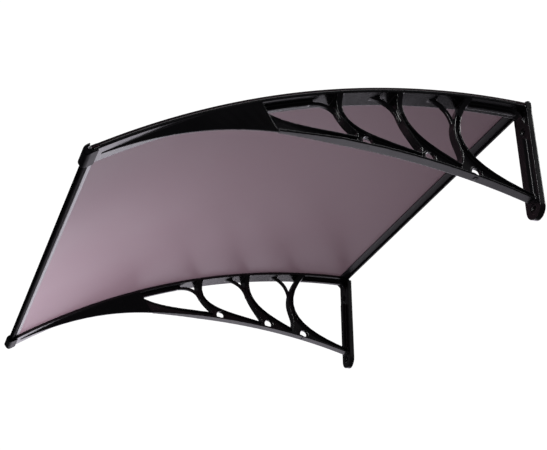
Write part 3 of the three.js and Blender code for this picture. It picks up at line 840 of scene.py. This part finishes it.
@dataclass
class EndCaps:
    """The caps on both bars: one of each moulded for the right end, and their mirror copies."""

    grid: float = 0.0003
    easing_passes: dict[str, int] = field(default_factory=lambda: {"front": 24, "rear": 8})
    faces_kept: float = 0.25
    shading_angle: float = 40.0

    def make(self, finish: bpy.types.Material) -> None:
        """Builds and dresses the four caps.

        Args:
            finish: Their finish.
        """
        for end, passes in self.easing_passes.items():
            right = moulded_copy(f"right_{end}_cap", f"right_{end}_end_cap", self.grid, passes,
                                 self.faces_kept)
            left = mirror_copy(right, f"left_{end}_end_cap")
            for side, piece in ((Side.RIGHT, right), (Side.LEFT, left)):
                shade(piece, self.shading_angle)
                dress(piece, finish, Slot.CAP, f"{side.word}_{end}_cap")


@dataclass(frozen=True)
class PanScrew:
    """A cross-recessed pan-head screw, drawn upright with its head's underside at 0."""

    head_radius: float
    head_height: float
    shank_radius: float
    length: float
    sides: int = 36
    crown: float = 0.30
    edge_height: float = 0.55
    recess_reach: float = 0.56
    recess_width: float = 0.20
    recess_depth: float = 0.62
    recess_taper: float = 0.45
    point: float = 0.4
    rounding: float = 0.10
    rounding_facets: int = 3
    corner: float = 24.0

    def blank(self) -> bpy.types.Object:
        """Turns the screw: a crowned head, with the shank drawn out of its underside.

        Returns:
            The screw without its recess.
        """
        edge = self.head_height * self.edge_height
        piece = new_cylinder("screw_model", self.head_radius, 0.0, edge, self.sides)
        with editing(piece):
            pick(piece, faces_up)
            bpy.ops.mesh.inset(thickness=self.head_radius * self.crown, depth=self.head_height - edge)
            pick(piece, faces_down)
            bpy.ops.mesh.inset(thickness=self.head_radius - self.shank_radius, depth=0.0)
            bpy.ops.mesh.extrude_region_move(
                TRANSFORM_OT_translate={"value": (0.0, 0.0, self.shank_radius - self.length)})
            bpy.ops.mesh.extrude_region_move(
                TRANSFORM_OT_translate={"value": (0.0, 0.0, -self.shank_radius)})
            bpy.ops.transform.resize(value=(self.point, self.point, 1.0))
        return piece

    def cross(self) -> bpy.types.Object:
        """Makes the cutter of the cross recess, which narrows downwards.

        Returns:
            The cutter.
        """
        depth = self.head_height * self.recess_depth
        reach, half = self.head_radius * self.recess_reach, self.head_radius * self.recess_width / 2
        deselect()
        bpy.ops.mesh.primitive_cube_add(size=2 * half)
        cutter = bpy.context.object
        with editing(cutter):
            for x, y in ((1.0, 0.0), (-1.0, 0.0), (0.0, 1.0), (0.0, -1.0)):
                arm = Vector((x, y, 0.0))
                pick(cutter, lambda face: face.normal.dot(arm) > STRAIGHT
                     and abs(face.calc_center_median().dot(arm)) < SLACK * half)
                bpy.ops.mesh.extrude_region_move(TRANSFORM_OT_translate={"value": arm * (reach - half)})
            bpy.ops.mesh.select_all(action="SELECT")
            bpy.ops.transform.resize(value=(1.0, 1.0, depth / half))
            pick(cutter, faces_down)
            bpy.ops.transform.resize(value=(self.recess_taper, self.recess_taper, 1.0))
        cutter.data.transform(Matrix.Translation((0.0, 0.0, self.head_height)))
        return cutter

    def build(self) -> bpy.types.Object:
        """Models the screw.

        Returns:
            The screw.
        """
        piece = self.blank()
        soften(piece, self.head_radius * self.rounding, self.rounding_facets, self.corner)
        cutter = self.cross()
        apply_modifier(piece, "BOOLEAN", object=cutter, operation="DIFFERENCE", solver="EXACT")
        discard(cutter)
        shade(piece)
        return piece


@dataclass(frozen=True)
class SealingWasher:
    """A domed rubber washer with a pressed ring, its underside at 0."""

    radius: float = 0.0075
    hole_radius: float = 0.0023
    thickness: float = 0.002
    edge: float = 0.5
    slope: float = 0.20
    ring: float = 0.10
    ring_wall: float = 0.04
    ring_depth: float = 0.00025
    sides: int = 40
    rounding: float = 0.12
    corner: float = 24.0

    def build(self) -> bpy.types.Object:
        """Models the washer.

        Returns:
            The washer.
        """
        rim = self.thickness * self.edge
        piece = new_cylinder("washer_model", self.radius, 0.0, rim, self.sides)
        with editing(piece):
            pick(piece, faces_up)
            bpy.ops.mesh.inset(thickness=self.radius * self.slope, depth=self.thickness - rim)
            bpy.ops.mesh.inset(thickness=self.radius * self.ring_wall, depth=-self.ring_depth)
            bpy.ops.mesh.inset(thickness=self.radius * self.ring, depth=0.0)
            bpy.ops.mesh.inset(thickness=self.radius * self.ring_wall, depth=self.ring_depth)
            inner = self.radius * (1.0 - self.slope - self.ring - 2 * self.ring_wall)
            bpy.ops.mesh.inset(thickness=inner - self.hole_radius, depth=0.0)
            pick(piece, faces_down)
            bpy.ops.mesh.inset(thickness=self.radius - self.hole_radius, depth=0.0)
            pick(piece, lambda face: len(face.verts) > QUAD_CORNERS)
            bpy.ops.mesh.bridge_edge_loops()
        soften(piece, self.thickness * self.rounding, corner=self.corner)
        return piece


@dataclass
class Fixings:
    """The screws and washers at both ends, each kind modelled once."""

    arc: RoofArc
    plan: ScrewPlan
    head_radius: float = 0.0046
    head_height: float = 0.003
    front_edge: float = 0.838
    cap_screw: PanScrew = PanScrew(head_radius=0.0026, head_height=0.002, shank_radius=0.0014, length=0.016)
    cap_screw_place: Vector = field(default_factory=lambda: Vector((0.4373, -0.0033, 0.0005)))

    def roof_screw(self, seat: float) -> PanScrew:
        """The screw that reaches from a seat above the sheet down through the flange."""
        return PanScrew(self.head_radius, self.head_height, self.plan.shank_radius,
                        seat + self.plan.flange_bottom)

    def cap_place(self, side: Side) -> Matrix:
        """Where the front cap's screw goes at one end.

        Args:
            side: The end.

        Returns:
            The screw's matrix.
        """
        reach, up, off = self.cap_screw_place
        turn = Matrix.Rotation(side.value * math.pi / 2, 4, "Y")
        front = self.arc.frame_at(0.0, self.front_edge)
        return front @ Matrix.Translation((side.value * reach, up, off)) @ turn

    def make(self, steel: bpy.types.Material, rubber: bpy.types.Material) -> None:
        """Builds and dresses the screws and washers.

        Args:
            steel: Finish of the screws.
            rubber: Finish of the washers.
        """
        plan = self.plan
        sheet_model = self.roof_screw(plan.sheet_seat).build()
        bar_model = self.roof_screw(plan.bar_seat).build()
        cap_model = self.cap_screw.build()
        washer_model = SealingWasher().build()
        for side in Side:
            x = side.value * plan.bracket_x
            for i, row in enumerate(plan.sheet_rows, start=1):
                self.fix(sheet_model, f"{side.word}_sheet_screw_{i}",
                         self.arc.frame_at(x, row, plan.sheet_seat), steel, Slot.STEEL)
                self.fix(washer_model, f"{side.word}_sheet_washer_{i}",
                         self.arc.frame_at(x, row, plan.washer_seat), rubber, Slot.RUBBER)
            for end, row in (("rear", plan.rear_row), ("front", plan.front_row)):
                self.fix(bar_model, f"{side.word}_{end}_bar_screw",
                         self.arc.frame_at(x, row, plan.bar_seat), steel, Slot.STEEL)
            self.fix(cap_model, f"{side.word}_front_cap_screw", self.cap_place(side), steel, Slot.STEEL)
        for model in (sheet_model, bar_model, cap_model, washer_model):
            discard(model)

    def fix(self, model: bpy.types.Object, node: str, place: Matrix, finish: bpy.types.Material,
            slot: Slot) -> None:
        """Sets one copy of a fixing in place of its node.

        Args:
            model: The modelled fixing.
            node: The node that the copy stands for.
            place: Where it goes.
            finish: Its finish.
            slot: Slot of the finish.
        """
        dress(placed_copy(model, f"{node}_fixing", place), finish, slot, node)


# The studio


@dataclass(frozen=True)
class GlossPanel:
    """A soft panel far off that only gloss shows: where it is, its edge's cosine and its strength."""

    side: Triple
    edge: float
    strength: float


@dataclass
class Surroundings:
    """A white backdrop to the eye, a plain dome for light, and a screen and panels for gloss."""

    backdrop_colour: Colour = (1.0, 1.0, 1.0)
    backdrop_strength: float = 1.05
    light_colour: Colour = (1.0, 0.95, 1.06)
    dome_strength: float = 0.22
    air_strength: float = 0.05
    screen: GlossPanel = GlossPanel((-0.80, 0.60, 0.10), 0.66, 2.2)
    screen_band: tuple[tuple[float, float], ...] = (
        (-0.65, 0.0), (-0.40, 0.09), (-0.21, 0.19), (-0.10, 1.0), (0.12, 1.0), (0.42, 0.0))
    panels: tuple[GlossPanel, ...] = (
        GlossPanel((-0.80, 0.28, -0.53), 0.955, 1.35),
        GlossPanel((0.35, -0.85, 0.40), 0.80, 1.40),
        GlossPanel((0.0, 0.0, 1.0), 0.74, 0.80))

    def __post_init__(self) -> None:
        """Starts an empty world."""
        world = bpy.data.worlds.new("studio")
        bpy.context.scene.world = world
        world.cycles.sampling_method = "NONE"
        world.use_nodes = True
        self.nodes, self.links = world.node_tree.nodes, world.node_tree.links
        self.nodes.clear()
        self.direction = self.nodes.new("ShaderNodeTexCoord").outputs["Generated"]

    def combined(self, kind: str, *values: bpy.types.NodeSocket | float) -> bpy.types.NodeSocket:
        """Joins values by arithmetic.

        Args:
            kind: Blender's name of the operation.
            values: Node outputs and plain numbers.

        Returns:
            The result.
        """
        node = self.nodes.new("ShaderNodeMath")
        node.operation = kind
        for socket, value in zip(node.inputs, values):
            if isinstance(value, float):
                socket.default_value = value
            else:
                self.links.new(value, socket)
        return node.outputs["Value"]

    def facing(self, panel: GlossPanel) -> bpy.types.NodeSocket:
        """How near a direction is to a panel's middle.

        Args:
            panel: The panel.

        Returns:
            A value that is 1 at the middle and 0 from the edge on.
        """
        dot = self.nodes.new("ShaderNodeVectorMath")
        dot.operation = "DOT_PRODUCT"
        dot.inputs[1].default_value = Vector(panel.side).normalized()
        self.links.new(self.direction, dot.inputs[0])
        fade = self.nodes.new("ShaderNodeMapRange")
        fade.interpolation_type = "SMOOTHSTEP"
        fade.inputs["From Min"].default_value = panel.edge
        self.links.new(dot.outputs["Value"], fade.inputs["Value"])
        return fade.outputs["Result"]

    def banded(self) -> bpy.types.NodeSocket:
        """The screen's brightness by height, from straight down at -1 to straight up at 1.

        Returns:
            The share of the screen's strength.
        """
        split = self.nodes.new("ShaderNodeSeparateXYZ")
        self.links.new(self.direction, split.inputs["Vector"])
        band = self.nodes.new("ShaderNodeValToRGB")
        band.color_ramp.interpolation = "EASE"
        stops = band.color_ramp.elements
        stops.remove(stops[1])
        stops[0].color = (0.0, 0.0, 0.0, 1.0)
        for height, value in self.screen_band:
            stops.new((height + 1.0) / 2).color = (value, value, value, 1.0)
        self.links.new(self.combined("MULTIPLY_ADD", split.outputs["Z"], 0.5, 0.5), band.inputs["Fac"])
        return band.outputs["Color"]

    def glow(self) -> bpy.types.NodeSocket:
        """What gloss shows: the air, the screen and the panels.

        Returns:
            The strength in each direction.
        """
        screen = self.combined("MULTIPLY", self.facing(self.screen), self.banded())
        total = self.combined("MULTIPLY_ADD", screen, self.screen.strength, self.air_strength)
        for panel in self.panels:
            total = self.combined("MULTIPLY_ADD", self.facing(panel), panel.strength, total)
        return total

    def make(self) -> None:
        """Gives each kind of ray its own surroundings."""
        seen = self.nodes.new("ShaderNodeBackground")
        seen.inputs["Color"].default_value = (*self.backdrop_colour, 1.0)
        seen.inputs["Strength"].default_value = self.backdrop_strength
        lit = self.nodes.new("ShaderNodeBackground")
        lit.inputs["Color"].default_value = (*self.light_colour, 1.0)
        rays = self.nodes.new("ShaderNodeLightPath")
        gloss = self.combined("SUBTRACT", self.glow(), self.dome_strength)
        strength = self.combined("MULTIPLY_ADD", gloss, rays.outputs["Is Glossy Ray"], self.dome_strength)
        self.links.new(strength, lit.inputs["Strength"])
        mix = self.nodes.new("ShaderNodeMixShader")
        self.links.new(rays.outputs["Is Camera Ray"], mix.inputs["Fac"])
        self.links.new(lit.outputs["Background"], mix.inputs[1])
        self.links.new(seen.outputs["Background"], mix.inputs[2])
        output = self.nodes.new("ShaderNodeOutputWorld")
        self.links.new(mix.outputs["Shader"], output.inputs["Surface"])


@dataclass
class Studio:
    """Floor, light and camera."""

    roof: bpy.types.Collection
    brackets: bpy.types.Collection
    floor_height: float = -2.8
    floor_size: float = 24.0
    floor_squares: int = 8
    camera_place: Vector = field(default_factory=lambda: Vector((1.77702, -1.04980, -1.14994)))
    camera_azimuth: float = 69.0262
    camera_elevation: float = 28.4615
    focal_pixels: float = 1015.725
    picture_width: float = 547.0
    sensor_width: float = 36.0
    camera_range: float = 100.0
    overhead_strength: float = 2.0
    overhead_spread: float = 70.0
    fill_place: Vector = field(default_factory=lambda: Vector((-0.26, -0.82, -0.85)))
    fill_target: Vector = field(default_factory=lambda: Vector((-0.24, -0.74, 0.0)))
    fill_size: tuple[float, float] = (0.7, 0.7)
    fill_power: float = 15.4
    fill_colour: Colour = (1.0, 1.09, 1.22)
    edge_target: Vector = field(default_factory=lambda: Vector((0.2, -0.4, -0.1)))
    wall_edge_place: Vector = field(default_factory=lambda: Vector((1.6, 2.2, 1.5)))
    wall_edge_size: tuple[float, float] = (0.6, 0.6)
    wall_edge_power: float = 22.0
    front_edge_place: Vector = field(default_factory=lambda: Vector((1.25, -3.0, 0.35)))
    front_edge_size: tuple[float, float] = (0.3, 3.2)
    front_edge_power: float = 120.0

    def build_floor(self) -> None:
        """Lays the floor."""
        deselect()
        bpy.ops.mesh.primitive_grid_add(x_subdivisions=self.floor_squares,
                                        y_subdivisions=self.floor_squares, size=self.floor_size)
        floor = bpy.context.object
        floor.name = "floor"
        floor.data.transform(Matrix.Translation((0.0, 0.0, self.floor_height)))
        floor.data.materials.append(PaleFloor().material())
        floor.visible_glossy = False
        floor.visible_diffuse = False

    def build_light(self) -> None:
        """Sets an even soft light overhead, a fill for the roof, an edge light and the brackets' strip."""
        sky = bpy.data.lights.new("overhead", "SUN")
        sky.energy = self.overhead_strength
        sky.angle = math.radians(self.overhead_spread)
        bpy.context.scene.collection.objects.link(bpy.data.objects.new("overhead", sky))
        fill = self.hang("under_fill", self.fill_place, self.fill_target, self.fill_size, self.fill_power)
        fill.data.color = self.fill_colour
        fill.visible_glossy = False
        fill.visible_transmission = False
        fill.light_linking.receiver_collection = self.roof
        self.hang("wall_edge", self.wall_edge_place, self.edge_target, self.wall_edge_size,
                  self.wall_edge_power)
        strip = self.hang("front_edge", self.front_edge_place, self.edge_target, self.front_edge_size,
                          self.front_edge_power)
        strip.visible_diffuse = False
        strip.light_linking.receiver_collection = self.brackets

    def hang(self, name: str, place: Vector, target: Vector, size: tuple[float, float],
             power: float) -> bpy.types.Object:
        """Hangs one soft light, round or long.

        Args:
            name: The light's name.
            place: Where it hangs.
            target: What it points at.
            size: Its width and height in metres.
            power: Its power in watts.

        Returns:
            The light.
        """
        lamp = bpy.data.lights.new(name, "AREA")
        lamp.shape = "ELLIPSE"
        lamp.size, lamp.size_y = size
        lamp.energy = power
        hung = bpy.data.objects.new(name, lamp)
        hung.location = place
        hung.rotation_euler = (target - place).to_track_quat("-Z", "Y").to_euler()
        hung.visible_camera = False
        bpy.context.scene.collection.objects.link(hung)
        return hung

    def build_camera(self) -> None:
        """Sets the camera where the picture was taken from."""
        lens = bpy.data.cameras.new("camera")
        lens.sensor_fit = "HORIZONTAL"
        lens.sensor_width = self.sensor_width
        lens.lens = self.sensor_width * self.focal_pixels / self.picture_width
        lens.clip_end = self.camera_range
        camera = bpy.data.objects.new("camera", lens)
        bpy.context.scene.collection.objects.link(camera)
        azimuth, elevation = math.radians(self.camera_azimuth), math.radians(self.camera_elevation)
        level = math.cos(elevation)
        ahead = Vector((-math.sin(azimuth) * level, math.cos(azimuth) * level, math.sin(elevation)))
        camera.location = self.camera_place
        camera.rotation_euler = ahead.to_track_quat("-Z", "Y").to_euler()
        bpy.context.scene.camera = camera

    def make(self) -> None:
        """Builds the whole studio."""
        self.build_floor()
        self.build_light()
        Surroundings().make()
        self.build_camera()
        bpy.context.scene.view_settings.view_transform = "Standard"


def main() -> None:
    """Builds the canopy piece by piece, then the studio."""
    logging.basicConfig(level=logging.INFO, format="%(name)s: %(message)s")
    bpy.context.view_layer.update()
    bracket_plastic = MouldedPlastic("bracket_moulding").material()
    cap_plastic = MouldedPlastic("cap_moulding", smooth=0.34, rough=0.46, gloss=0.09).material()
    lip_metal = AnodisedBar("front_lip_anodised").material()
    # The nose's copy of the bar finish is darker and all but unreflective: painted shade on the rounded
    # nose.
    nose_shade_metal = AnodisedBar("front_nose_painted_shade", dark=(0.0015, 0.0015, 0.0017),
                             light=(0.0040, 0.0040, 0.0044), smooth=0.44, rough=0.56,
                             index=1.06).material()
    rear_metal = AnodisedBar("rear_bar_anodised", smooth=0.42, rough=0.54, index=1.5).material()
    rubber = SealRubber().material()
    steel = ZincSteel().material()
    arc, plan = RoofArc(), ScrewPlan()
    edge = TintedPolycarbonate("tinted_edge", deep=(0.012, 0.008, 0.010), pale=(0.020, 0.014, 0.017),
                               see_through=0.0)
    roof = RoofSheet(arc, plan).make(TintedPolycarbonate().material(), edge.material())
    brackets = Brackets().make(bracket_plastic)
    Bars(arc).make(lip_metal, nose_shade_metal, rear_metal, rubber)
    EndCaps().make(cap_plastic)
    Fixings(arc, plan).make(steel, rubber)
    Studio(roof, brackets).make()


if __name__ == "__main__":
    main()
